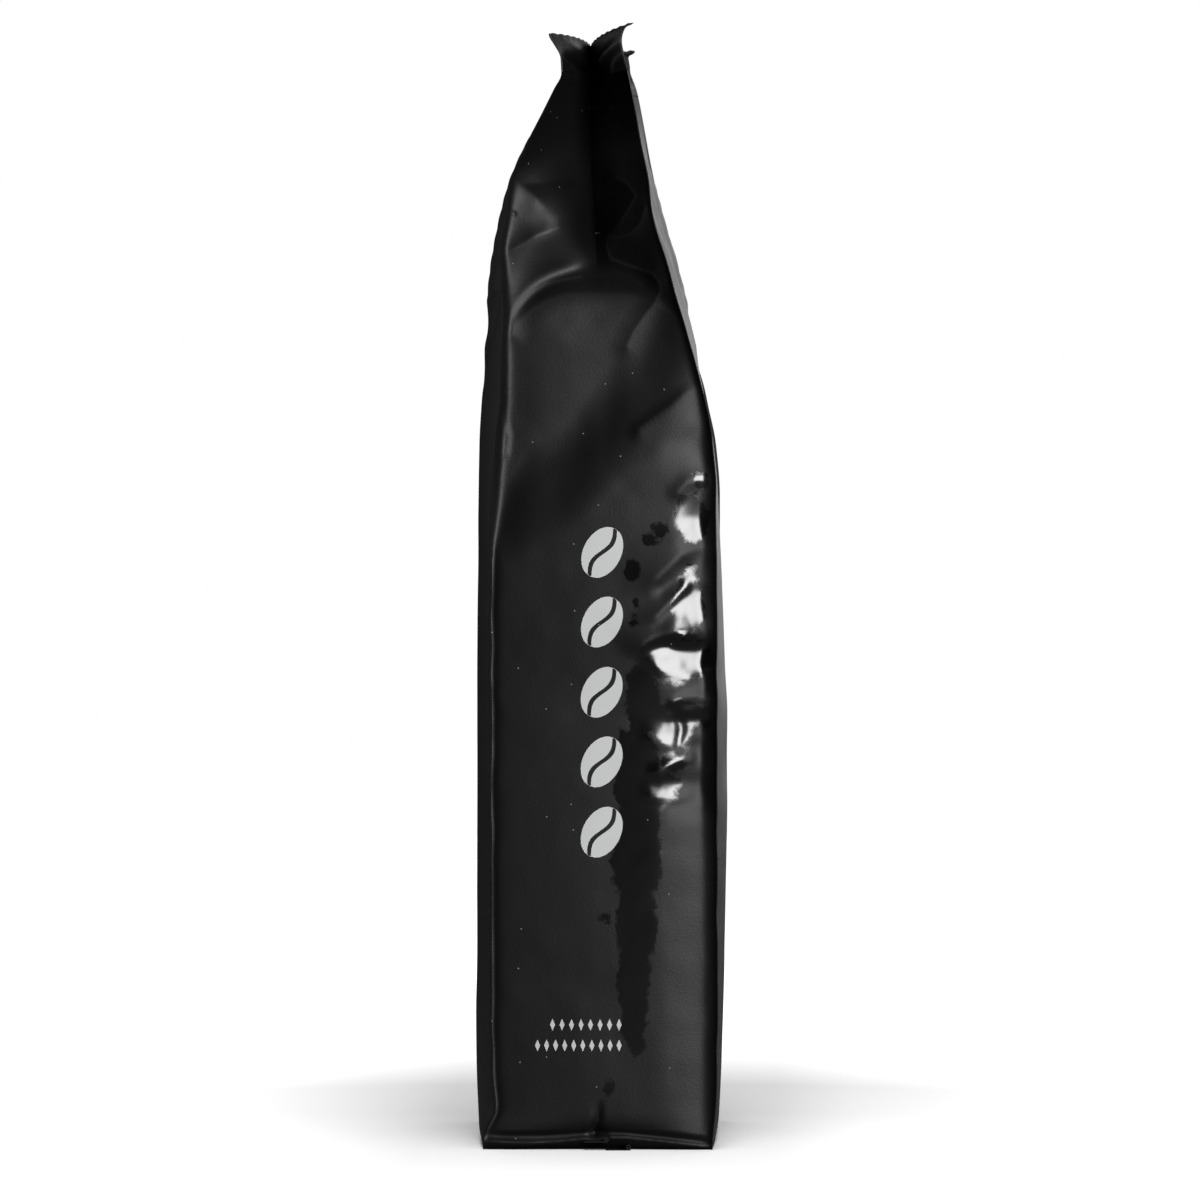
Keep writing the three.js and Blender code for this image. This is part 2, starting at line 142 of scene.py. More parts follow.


# Folds pressed into a wall: a line of (across, up) points, how far its crest stands out, how
# far it reaches to the left and the right of the line's direction, how round the crest is and
# how pale its crest is painted, partly as rubbed wear and partly as a painted glint of light.
# A fold with a negative rise is a valley. The far gusset has the near one's folds, a little
# narrower and lower.
NEAR_FOLDS = [
    ([(-30, 324), (-24.6, 321), (-20.3, 317.5)], 0.6, 4, 7, 0.4, 0.3),
    ([(-20.3, 317.5), (-16.9, 314.5), (-15.6, 310.7), (-16.9, 306.5), (-20.3, 304.8)],
     0.3, 7, 6, 1.4, 0.0),
    ([(-13, 307.5), (-20.3, 304.8), (-24.6, 302), (-31.5, 298.6)], 1.4, 15, 9, 0.4, 0.2),
    ([(-29.5, 324.6), (-20, 328), (-15, 329)], 0.3, 4, 5, 0.9, 0.0),
    ([(-27, 322.5), (-18, 322.5), (-9, 325)], -0.5, 4, 4, 0.8, 0.0),
    ([(-5.8, 291.6), (-11, 290.5), (-17.3, 289.2), (-21.6, 286.8), (-25.9, 282.8),
      (-28, 278.9), (-28.2, 272)], 0.55, 6, 6, 0.3, 0.3),
    ([(5.8, 325.2), (9.7, 322.8), (13, 318.2), (10.9, 314.8), (7.2, 309.2), (3.2, 305.5),
      (2.9, 301.5), (4.4, 297.7), (8, 296.2), (18.3, 292.5), (20.4, 289.8)],
     1.6, 12, 6, 0.5, 0.4),
    ([(18.3, 292.5), (20.6, 289.5), (21.4, 286.6), (19, 282), (15.9, 278.2), (12.1, 272.7),
      (10, 268)], 0.55, 8, 6, 0.3, 0.4),
    ([(16.2, 314.1), (14.5, 308.8), (11, 305.8), (8.5, 304.8), (3.5, 305.6)], 0.8, 4, 3.5, 0.4, 0.3),
    ([(36, 254.2), (32, 253.4), (29.2, 251.8), (24.5, 247.5), (18.5, 243.3), (14, 240)],
     0.7, 7, 4, 0.4, 0.3),
    ([(-31.5, 244), (-29.8, 238), (-30.5, 232)], 0.4, 1.8, 2.2, 0.5, 0.3),
    ([(-29.9, 313.2), (-27.8, 312.2)], -0.6, 1.0, 1.0, 0.3, 0.8),
    # The creases of the glossy patch; on some the last value paints the crest pale as a painted highlight
    # line more than as wear.
    ([(27, 219.3), (30, 222.4), (33, 223.6), (37.5, 223.9)], 0.7, 5, 4.5, 0.3, 0.1),
    ([(20, 190.5), (24, 194.6), (28.5, 198.8), (32, 200.3), (37.5, 200.8)], 1.2, 16, 6, 0.4, 0.15),
    ([(19.6, 177.6), (23, 181), (26.6, 184.8), (29.4, 187.6)], 0.8, 8, 3, 0.3, 0.9),
    ([(22, 187.5), (27, 190.5), (30, 194)], -0.6, 4, 5, 1.5, 0.0),
    ([(15.5, 168.6), (19, 171), (24.5, 172.4), (29, 171)], 1.1, 12, 4, 0.3, 0.1),
    ([(28, 171.8), (32, 171.6), (37.5, 174.6)], 1.2, 11, 6, 0.3, 0.2),
    ([(32.5, 170.2), (36.5, 171.6)], 0.4, 0.8, 0.8, 0.2, 0.6),
    ([(20, 161), (24, 158.8), (28, 157.6), (31, 158), (37.5, 160.8)], 1.6, 60, 7.5, 0.3, 0.0),
    ([(25, 149.2), (28.5, 150.6), (33, 151.2), (36.5, 150.4)], 0.7, 2.6, 2.5, 0.3, 0.0),
    ([(19, 136.5), (24, 135), (28, 135.6), (33, 138)], 0.6, 8, 4.5, 0.5, 0.0),
    ([(26.8, 145.5), (28.2, 140.5), (27, 135)], -0.5, 2.6, 2.6, 0.9, 0.0),
    ([(20, 126.3), (23.5, 128.2), (27.5, 130.2), (31, 130.4)], 0.9, 4, 5, 0.3, 0.0),
    ([(18, 117.8), (24, 117.2), (30, 118)], 0.4, 6, 4, 0.4, 0.0),
]

# The slant across the gusset: above a line of (across, up) points the wall lies further in.
# Stations across the gusset give the width and the steepness of the step; a share of it comes
# back out higher up, and a power, by hand, ends it at the corner folds.
SLANT_LINE = [(-34, 195), (-20.2, 201.5), (-12, 206), (-7.7, 209), (0.7, 217), (12.6, 227),
              (18.5, 231), (27, 238), (37, 245)]
SLANT_BAND = [[-36, 18], [-23, 24.5], [-12, 27], [-5, 29], [3, 31], [11, 34], [36, 40]]
SLANT_STEEPNESS = [[-36, 0.2], [-23, 0.18], [-10, 0.2], [3, 0.22], [11, 0.207], [37, 0.178]]
SLANT_COSINE = 0.75  # turns a height above the line into a distance from it
SLANT_EASE = 1.5  # the step begins this far below the line
SLANT_ENDS = (290.0, 345.0)  # above these heights the wall is tucked and the slant is gone
SLANT_RETURN = 0.5
SLANT_RETURNS = (236.0, 276.0)  # the heights over which that share comes back on the left
SLANT_DELAY = 12.0  # and how much higher this lies on the right
SLANT_FADE = {-1: 26, 1: 4}

# Along the right fold the wall turns away from a wavy edge, then climbs out of a sharp valley.
# Stations up the bag: where the edge lies, how steeply the wall falls, and the valley's width.
TURN_EDGE = [[0, 22], [60, 21], [108, 21], [119, 19], [123, 20], [128, 23], [136, 21], [143, 21.5],
             [147, 26], [153, 24], [158, 20.5], [167, 17], [169, 18.5], [172, 25.5], [186, 27.5],
             [190, 29.5], [200, 27], [208, 26.6], [219, 30.5], [224, 31.5], [236, 32]]
TURN_SLOPE = [[0, 0], [20, 0.05], [108, 0.07], [118, 0.18], [124, 0.22], [228, 0.22],
              [236, 0.12], [250, 0]]
TURN_EASE = 1.2  # rounds the edge
VALLEY = [[0, 4], [108, 4.2], [124, 5], [136, 5.2], [146, 4.6], [158, 3.7], [163, 4.4], [172, 4],
          [186, 5.2], [200, 4.2], [212, 5.4], [220, 5], [226, 4.1], [232, 4.4], [250, 3.5]]
EDGE_UNREST, VALLEY_UNREST = 0.8, 0.5  # both waver by so much


def slant(across, up):
    """How far the wall lies in above the slanting line: a smooth step from the line to the
    far side of the band, seen at right angles to the line, of which a share comes back higher
    up, later on the right than on the left."""
    above = (up - follow(SLANT_LINE, across)) * SLANT_COSINE
    band = follow(SLANT_BAND, across)
    inner = follow(SLANT_STEEPNESS, across) * band * smooth(above, -SLANT_EASE, band)
    delay = SLANT_DELAY * smooth(across, -10, 40)
    low, high = SLANT_RETURNS
    return inner * (1 - SLANT_RETURN * smooth(up, low + delay, high + delay))


def turned(across, to_fold, up):
    """The drop beside the right fold: an eased ramp from the edge, met by the valley's far
    wall. The two meet by the smooth least of the ramp and a straight climb to the fold."""
    start = follow(TURN_EDGE, up) + EDGE_UNREST * unrest(across, up, 4, 51)
    ramp = TURN_EASE * np.log1p(np.exp(np.clip((across - start) / TURN_EASE, -30, 30)))
    valley = follow(VALLEY, up) + VALLEY_UNREST * unrest(0 * across, up, 3.5, 52)
    out = np.clip(to_fold / valley, 0, None)
    return follow(TURN_SLOPE, up) * ramp * out / (1 + out**8) ** (1 / 8)


# The folds of the two base skins across the foot of a gusset, and the folds of a broad panel.
FOOT_FOLDS = [
    ([(-38.4, 5.2), (-30, 4.5), (-18, 4.7), (-7, 5.4), (1, 6.1)], -1.1, 2.0, 3.4, 0.7, 0.0),
    ([(-38, 2.9), (-24, 2.2), (-14, 2.6), (-5, 3.6), (2, 3.5)], 0.6, 1.2, 1.4, 0.4, 0.3),
    ([(-1, 5.9), (4, 5.9), (9, 5.7), (22, 4.4), (39, 2.4)], -1.0, 2.0, 3.0, 0.7, 0.0),
    ([(4.5, 4.1), (10, 4.1), (22, 2.8), (37, 1.1)], 0.5, 1.2, 1.2, 0.4, 0.25),
    ([(0.8, 12), (0.1, 8.6), (-0.7, 5.4)], -1.2, 1.7, 3.0, 0.4, 0.0),
]
PANEL_FOLDS = [
    ([(-40, 346), (-21, 322), (-12, 292)], 1.6, 12, 10, 0.8, 0.2),
    ([(38, 344), (24, 318), (8, 286)], 1.5, 11, 13, 0.8, 0.2),
    ([(3, 354), (-2, 330)], -2.0, 10, 10, 0.8, 0.0),
    ([(-58, 306), (-30, 282), (2, 270)], 0.9, 10, 12, 1.0, 0.2),
    ([(56, 292), (34, 268), (12, 262)], -1.4, 11, 9, 1.0, 0.0),
    ([(-60, 330), (-44, 318), (-36, 300)], 0.9, 5, 7, 0.6, 0.3),
    ([(61, 322), (47, 309), (44, 288)], 0.8, 6, 5, 0.6, 0.3),
]

# Round dents, each (across, up, half width, half height, depth).
NEAR_DENTS = [(0.5, 310, 5.0, 9, 5.0)]
PANEL_DENTS = [(-34, 236, 16, 10, 1.2), (30, 196, 18, 12, 1.0), (-12, 128, 22, 10, 0.8)]

# The channel beside each corner fold, by hand: stations up the bag of its depth and of the
# distance from the fold at which it is deepest.
CHANNEL_DEPTH = {
    -1: [[0, 0.3], [12, 0.6], [196, 0.6], [214, 0.42], [250, 0.32], [290, 0.28], [330, 0]],
    1: [[0, 0.5], [20, 0.8], [108, 0.8], [124, 0.4], [222, 0.4], [234, 1.4], [250, 0.9],
        [265, 0.5], [300, 0.4], [335, 0]],
}
CHANNEL_PLACE = {
    -1: [[0, 0.7], [196, 0.7], [216, 1.8], [262, 1.9], [285, 1.1], [340, 1.0]],
    1: [[0, 2.0], [20, 3.6], [234, 4.0], [250, 2.0], [340, 1.0]],
}
RELIEF_FADE = {-1: 20, 1: 10}  # powers that end the pressed folds beside the corner folds
PANEL_GROOVE, GROOVE_PLACE = 0.3, 2.2  # the shallower channel of the panels
FOLD_RUB_AND_GLINT_WIDTH = 0.4  # the corner folds' crests are painted pale this far to each side, as rubbed wear and a painted glint


def fold_lift(fold, across, up):
    """A crest along a line of points: the lift is (1 - d/reach) squared, with d the distance
    to the line less its rounding. Also the wear and glint, a narrow bell over the crest that
    paints it pale: partly rubbed wear, partly a painted glint of light."""
    line, rise, left, right, rounding, wear_and_glint = fold
    lift, rub_and_glint = np.zeros(np.shape(across)), np.zeros(np.shape(across))
    rub_and_glint_width = 0.4
    for (x0, z0), (x1, z1) in zip(line, line[1:]):
        along, climb = x1 - x0, z1 - z0
        share = np.clip(((across - x0) * along + (up - z0) * climb) / (along**2 + climb**2), 0, 1)
        aside_x, aside_z = across - x0 - share * along, up - z0 - share * climb
        distance = np.hypot(aside_x, aside_z)
        turn = (along * aside_z - climb * aside_x) / (distance * math.hypot(along, climb) + 1e-6)
        reach = mix(right, left, smooth(turn, -1, 1))
        eased = np.hypot(distance, rounding) - rounding
        lift = np.maximum(lift, np.clip(1 - eased / reach, 0, 1) ** 2)
        rub_and_glint = np.maximum(rub_and_glint, wear_and_glint * np.exp(-((distance / rub_and_glint_width) ** 2)))
    return rise * lift, rub_and_glint


def channel(hand, to_fold, up):
    """The channel beside a corner fold: deepest at its place and fading as t exp(1 - t), with
    t the distance from the fold over that place."""
    place = follow(CHANNEL_PLACE[hand], up)
    reach = to_fold / (place * (1 + 0.16 * unrest(0 * to_fold + 3 * hand, up, 6, 61)))
    return follow(CHANNEL_DEPTH[hand], up) * reach * np.exp(1 - reach)


def relief(folds, dents, across, up):
    """All folds and dents added up, with the strongest wear and painted glint of any fold."""
    lift, rub_and_glint = np.zeros(np.shape(across)), np.zeros(np.shape(across))
    for fold in folds:
        more, worn_and_glint = fold_lift(fold, across, up)
        lift, rub_and_glint = lift + more, np.maximum(rub_and_glint, worn_and_glint)
    for x, z, width, height, depth in dents:
        lift = lift - depth * np.exp(-(((across - x) / width) ** 2) - ((up - z) / height) ** 2)
    return lift, rub_and_glint


def corner(level, side, hand):
    """A corner fold at each level: the foot of its pinched crest, the crest's edges towards
    the gusset and the panel, and the outward diagonal. side is near -1 or far 1, hand is
    left -1 or right 1."""
    stretch = (TIP_HEIGHT[side, hand] - NECK_HEIGHT) / (SEAL_HEIGHT - NECK_HEIGHT)
    z = np.where(level <= NECK_HEIGHT, level, NECK_HEIGHT + (level - NECK_HEIGHT) * stretch)
    x = follow(FOLD_X[hand], z)
    if side > 0:
        x = x + FAR_LEAN * (smooth(z, 300, 335) - smooth(z, 362, 370))
        x = x - hand * FAR_TIP_IN * smooth(z, 370, 377)
    waver = unrest(z, 0 * z + 7 * side, 9, 31 + hand) * (1 - smooth(z, 330, 350))
    x = x + FOLD_UNREST * waver
    y = side * follow(FOLD_Y, z)
    sealed = smooth(z, PRESSED_FROM, NECK_HEIGHT)
    pinch = FOLD_PINCH * math.sqrt(0.5) * (1 - sealed) * smooth(z, 0, 6)
    aside_x = hand * mix(math.sqrt(0.5), PRESSED_X, sealed) * SEAL_THICKNESS / 2
    aside_y = side * mix(math.sqrt(0.5), PRESSED_Y, sealed) * SEAL_THICKNESS / 2
    return {
        "foot": (x - hand * pinch, y - side * pinch, z),
        "gusset_edge": (x - aside_x, y + aside_y, z),
        "panel_edge": (x + aside_x, y - aside_y, z),
        "pinch": (hand * pinch, side * pinch),
    }


def gusset(level, side, hand, share):
    """Half a gusset, from its centre line (share 0) to a corner fold (share 1): a parabola
    where the beans fill it, a straight wall where it is tucked, a channel beside the pinched
    fold, and the folds pressed into it. Gives the points and the pale paint of the crests,
    rubbed wear and painted glint together."""
    seen = -side * hand  # the hand as seen from outside
    fold = corner(level, side, hand)
    foot_x, foot_y, foot_z = fold["foot"]
    tuck = follow(TUCK_DEPTH, level + TUCK_DROP[seen] * share**3)
    centre_x = follow(TUCK_X, level)
    tucked = smooth(tuck, *TUCK_HOLLOWS[seen])
    straight = mix(WALL_STRAIGHT[seen], 1, smooth(level, *WALL_STRAIGHTENS))
    hollow = mix((1 - share) ** HOLLOW_POWER[seen], 1 - share, straight)
    inwards = mix(1 - share**2, hollow, tucked)
    width = np.abs(foot_x - centre_x)
    length = np.hypot(width, tuck)
    offset = SEAL_THICKNESS / 2 * smooth(level, *SKINS_PART)
    aside = np.minimum(1, share * 10)
    x = mix(centre_x, foot_x, share) - offset * aside * hand * tuck / length
    y = foot_y - side * tuck * inwards + offset * side * mix(1, width / length, aside)
    z = mix(np.minimum(level, foot_z), foot_z, share)
    to_fold = (1 - share) * HALF_GUSSET
    crest = np.exp(-((to_fold / PINCH_REACH) ** 1.5))
    x, y = x + fold["pinch"][0] * crest, y + fold["pinch"][1] * crest

    across = x if side < 0 else -x
    if side < 0:
        lift, rub_and_glint = relief(NEAR_FOLDS, NEAR_DENTS, across, z)
    else:
        lift, rub_and_glint = relief(NEAR_FOLDS, NEAR_DENTS, across * 1.06 + 1.5, z * 1.02)
    foot_lift, foot_rub_and_glint = relief(FOOT_FOLDS, [], across, z)
    swell = 0.14 * unrest(across, z, 13, 5 + side) + 0.05 * unrest(across, z, 5.5, 9 + side)
    fade = 1 - share ** RELIEF_FADE[seen]
    fade = fade * (1 - smooth(z, RELIEF_ENDS, NECK_HEIGHT)) * smooth(z, 0, 1.5)
    inner = slant(across, z) * (1 - share ** SLANT_FADE[seen])
    inner = inner * (1 - smooth(z, *SLANT_ENDS))
    body = (lift + swell) * fade - inner - channel(seen, to_fold, z) * smooth(z, 0, 3)
    if seen > 0:
        body = body - turned(across, to_fold, z)
    y = y + side * (body + foot_lift * (1 - share**14) * smooth(z, 0, 0.8))
    rub_and_glint = np.maximum(rub_and_glint * fade, foot_rub_and_glint)
    # The corner fold's crest is painted pale, partly rubbed wear and partly a painted glint of light.
    crest_rub_and_glint = np.exp(-((to_fold / FOLD_RUB_AND_GLINT_WIDTH) ** 2)) * (1 - smooth(z, *RUB_AND_GLINT_ENDS))
    rub_and_glint = np.maximum(rub_and_glint, 0.1 * crest_rub_and_glint)
    x, y, z = (np.where(share >= 1, edge, v) for edge, v in zip(fold["gusset_edge"], (x, y, z)))
    return x, y, z, rub_and_glint


def panel(level, hand, place):
    """A broad panel, from its near fold (place -1) to its far fold (place 1): bulged as a
    power of the distance from the middle, and near the seal straight in the middle with an
    ear at each end. Gives the points and the pale paint of the crests, rubbed wear and
    painted glint together."""
    share = np.abs(place)
    parts = []
    for side in (-1, 1):
        fold = corner(level, side, hand)
        foot_x, foot_y, foot_z = fold["foot"]
        middle_x = follow(MIDDLE_X[hand], level)
        ear = np.clip((share - EAR_SHARE) / (1 - EAR_SHARE), 0, 1)
        sealed = smooth(level, 330, NECK_HEIGHT)
        bulged = mix(share**PANEL_ROUNDNESS, ear, sealed)
        x = mix(middle_x, foot_x, bulged) + hand * SEAL_THICKNESS / 2 * smooth(level, *SKINS_PART)
        y = foot_y * share
        z = mix(np.minimum(level, foot_z), foot_z, ear)
        to_fold = (1 - share) * HALF_PANEL
        crest = np.exp(-((to_fold / PINCH_REACH) ** 1.5))
        x, y = x + fold["pinch"][0] * crest, y + fold["pinch"][1] * crest
        across = hand * y
        lift, rub_and_glint = relief(PANEL_FOLDS, PANEL_DENTS, across, z)
        beside = to_fold / GROOVE_PLACE
        groove = PANEL_GROOVE * beside * np.exp(1 - beside)
        groove = groove * (1 - smooth(z, 285, 330)) * smooth(z, 0, 12)
        swell = 0.1 * unrest(across, z, 21, 15 + hand) + 0.03 * unrest(across, z, 9, 19 + hand)
        fade = (1 - share**12) * (1 - smooth(z, PRESSED_FROM, NECK_HEIGHT)) * smooth(z, 0, 6)
        x = x + hand * ((lift + swell) * fade - groove)
        # The corner fold's crest is painted pale, partly rubbed wear and partly a painted glint of light.
        crest_rub_and_glint = np.exp(-((to_fold / FOLD_RUB_AND_GLINT_WIDTH) ** 2)) * (1 - smooth(z, *RUB_AND_GLINT_ENDS))
        rub_and_glint = np.maximum(rub_and_glint * fade, 0.5 * crest_rub_and_glint)
        x, y, z = (np.where(share >= 1, edge, v) for edge, v in zip(fold["panel_edge"], (x, y, z)))
        parts.append((x, y, z, rub_and_glint))
    near, far = parts
    return tuple(np.where(place < 0, n, f) for n, f in zip(near, far))


def steps(*bands):
    """Values from 0 up, in bands of (end, pitch), each cut into equal steps near the pitch."""
    values = [0.0]
    for end, pitch in bands:
        count = max(1, round((end - values[-1]) / pitch))
        values += list(np.linspace(values[-1], end, count + 1)[1:])
    return np.array(values)


def shares(pitch, length, fine=0.45, fine_reach=3.2):
    """Shares from the middle to a fold, close together beside the fold."""
    return 1 - steps((fine_reach, fine), (length, pitch))[::-1] / length


def joined(strips):
    """Strips of (x, y, z, wear and glint) grids side by side, as one (level, column, 4) grid."""
    rows = strips[0][0].shape[0]
    return np.concatenate(
        [np.stack([np.broadcast_to(v, (rows, s[0].shape[1])) for v in s], -1) for s in strips], 1)


def ring(level, near_pitch, far_pitch, panel_pitch):
    """The closed loop of every level, anticlockwise from the near left fold."""
    strips = []
    places = shares(panel_pitch, HALF_PANEL)
    places = np.concatenate([-places[::-1], places[1:]])[None, :]
    for side, pitch in ((-1, near_pitch), (1, far_pitch)):
        half = shares(pitch, HALF_GUSSET)[None, :]
        strips.append(gusset(level, side, side, half[:, ::-1]))
        strips.append(gusset(level, side, -side, half[:, 1:]))
        strips.append(panel(level, -side, -side * places))
    return joined(strips)


def grid_faces(rows, columns):
    """Quads between the rows of a grid whose last column joins the first."""
    at = np.arange(rows * columns).reshape(rows, columns)
    beside = np.roll(at, -1, axis=1)
    return np.stack([at[:-1], beside[:-1], beside[1:], at[1:]], -1).reshape(-1, 4)


def mesh_object(name, points, faces, attributes=()):
    """A smooth shaded mesh from points in millimetres, with float attributes on its points."""
    mesh = bpy.data.meshes.new(name)
    mesh.from_pydata((np.asarray(points) * MM).tolist(), [], [list(map(int, f)) for f in faces])
    for key, values in attributes:
        layer = mesh.attributes.new(key, "FLOAT", "POINT")
        layer.data.foreach_set("value", np.asarray(values, np.float32).ravel())
    mesh.polygons.foreach_set("use_smooth", [True] * len(mesh.polygons))
    mesh.validate()
    made = bpy.data.objects.new(name, mesh)
    bpy.context.scene.collection.objects.link(made)
    return made


# The glossier patches of the laminate and the matt ones that cut into them, both ellipses of
# (across, up, half width, half height).
GLOSS_PATCHES = [
    (34.4, 223.2, 2.7, 2.5), (31.3, 210.8, 5.6, 8.4), (30.8, 192, 1.7, 3.2), (30.3, 181.5, 5.8, 9.6),
    (26.5, 163.5, 12, 8), (28, 141.5, 10, 8.5), (25.2, 129.6, 4.4, 3.4), (23, 120.5, 6, 5),
    (17.5, 203.5, 2.6, 2.2), (20.5, 207, 3, 3), (11.5, 193, 2.4, 4.6), (12, 175.5, 1.4, 2.4),
    (13, 183, 1.2, 2), (15, 150, 6, 14), (13.5, 124, 8, 20), (13.3, 100, 8.6, 22),
    (12.9, 76, 6.9, 20), (12.2, 56, 5.4, 16), (12.4, 42, 4.5, 9.5), (3.7, 20.5, 1.1, 2.4),
    (3, 77, 3.4, 0.6),
]
MATT_PATCHES = [(34.5, 133, 5, 9), (33, 119.5, 6.5, 5), (31, 152, 7, 2.4), (27, 133, 6, 1.4)]


def gloss_field(across, up):
    """How deep a point lies inside the nearest glossy patch: 0.5 at its edge, and an eighth
    more for every millimetre inside it."""
    depth = np.zeros(np.shape(across))
    for x, z, width, height in GLOSS_PATCHES:
        radius = np.hypot((across - x) / width, (up - z) / height)
        depth = np.maximum(depth, np.clip(0.5 + (1 - radius) * min(width, height) / 8, 0, 1))
    for x, z, width, height in MATT_PATCHES:
        radius = np.hypot((across - x) / width, (up - z) / height)
        depth = np.minimum(depth, np.clip(0.5 - (1 - radius) * min(width, height) / 8, 0, 1))
    return depth


# The grid's bands of levels, each (top height, pitch), and its pitches round the bag.
LEVEL_BANDS = [(7, 0.4), (112, 2.6), (200, 1.2), (262, 1.2), (328, 0.62), (NECK_HEIGHT + 2, 1.2)]
NEAR_PITCH, FAR_PITCH, PANEL_PITCH = 0.58, 1.7, 3.6
wall = ring(steps(*LEVEL_BANDS)[:, None], NEAR_PITCH, FAR_PITCH, PANEL_PITCH)

# The underside: each point of the lowest loop draws in towards the middle line of the base,
# which rises inside its rim and has a shallow pleat on each diagonal.
BASE_HALF_X, BASE_HALF_Y = 38.0, 64.0
BASE_LINE, BASE_LINE_X = 26.0, 2.0  # half the length of the middle line, and its place
BASE_RECESS, BASE_SWELL = 1.9, 0.15
PLEAT_DEPTH, PLEAT_WIDTH = 0.35, 1.4
lowest = wall[0]
drawn = (1 - (1 - np.linspace(0, 1, 19)[1:]) ** 1.6)[:, None]
base_x = mix(lowest[:, 0][None], BASE_LINE_X, drawn)
base_y = mix(lowest[:, 1][None], np.clip(lowest[:, 1], -BASE_LINE, BASE_LINE)[None], drawn)
in_x, in_y = BASE_HALF_X - np.abs(base_x), BASE_HALF_Y - np.abs(base_y)
rim = np.minimum(in_x, in_y)
pleat = PLEAT_DEPTH * np.exp(-(((in_y - in_x) / PLEAT_WIDTH) ** 2))
swell = BASE_SWELL * (1 + unrest(base_x, base_y, 11, 3))
base_z = (BASE_RECESS - pleat) * smooth(rim, 1.5, 6) + swell * smooth(rim, 3, 9)
under = np.stack([base_x, base_y, base_z, 0 * base_x], -1)[::-1]

loops = np.concatenate([under, wall])
columns = loops.shape[1]
points = loops[..., :3].reshape(-1, 3)
wear_and_glint = loops[..., 3].ravel()
on_near = (points[:, 1] < -20) & (points[:, 2] > 3)  # the shown gusset alone has patches
gloss = np.where(on_near, gloss_field(points[:, 0], points[:, 2]), 0)
faces = grid_faces(loops.shape[0], columns).tolist()
faces.append(list(range(len(points) - columns, len(points))))
film = mesh_object("bag_film", points, faces, [("wear_and_glint", wear_and_glint), ("gloss", gloss)])


def close_doubles(piece, distance=2e-6, sharp=38):
    """Merges the points that meet at a pole or a seam, and shades edges that turn by more than
    the sharp angle, in degrees, as edges."""
    work = bmesh.new()
    work.from_mesh(piece.data)
    bmesh.ops.remove_doubles(work, verts=work.verts, dist=distance)
    bmesh.ops.dissolve_degenerate(work, edges=work.edges, dist=1e-7)
    bmesh.ops.recalc_face_normals(work, faces=work.faces)
    work.to_mesh(piece.data)
    work.free()
    piece.data.set_sharp_from_angle(angle=math.radians(sharp))


close_doubles(film)


def add_node(tree, kind, inputs=(), **settings):
    """A new node with its settings; each input is linked to the socket that is given for it, or
    set to the value that is given."""
    node = tree.nodes.new(kind)
    for key, value in settings.items():
        setattr(node, key, value)
    for key, value in dict(inputs).items():
        if isinstance(value, bpy.types.NodeSocket):
            tree.links.new(value, node.inputs[key])
        else:
            node.inputs[key].default_value = value
    return node


def reckon(tree, operation, *values):
    """The result of one operation on sockets or numbers."""
    return add_node(tree, "ShaderNodeMath", enumerate(values), operation=operation).outputs[0]


def ramp(tree, value, start, end, low=0.0, high=1.0):
    """A straight ramp of a value: low at start, high at end, and level beyond both."""
    inputs = {"Value": value, "From Min": start, "From Max": end, "To Min": low, "To Max": high}
    return add_node(tree, "ShaderNodeMapRange", inputs).outputs["Result"]


def noise(tree, place, scale, detail, roughness=0.5):
    """Fractal noise from 0 to 1, with the given number of finer layers and their strength."""
    inputs = {"Vector": place, "Scale": scale, "Detail": detail, "Roughness": roughness}
    return add_node(tree, "ShaderNodeTexNoise", inputs).outputs["Fac"]


def blend_colours(tree, share, low, high):
    """The colour that lies a share of the way from low to high."""
    inputs = {"Factor": share, 6: low, 7: high}
    return add_node(tree, "ShaderNodeMix", inputs, data_type="RGBA").outputs[2]


FILM_COLOUR = (0.003, 0.003, 0.0031, 1)
# The pale colour of the crests stands partly for rubbed wear and partly for a painted glint of light.
RUBBED_AND_GLINT_COLOUR = (0.045, 0.045, 0.047, 1)
DUST_COLOUR = (0.32, 0.31, 0.28, 1)
MATT_ROUGHNESS, GLOSSY_ROUGHNESS, MOTTLED_ROUGHNESS = 0.47, 0.16, 0.05
COAT_IN_PATCHES = 0.65
RAGGED_EDGE = 1.1  # strength of the noise that is added to the depth in a glossy patch
DUSTY_CELLS = 0.12  # share of the cells that hold a speck


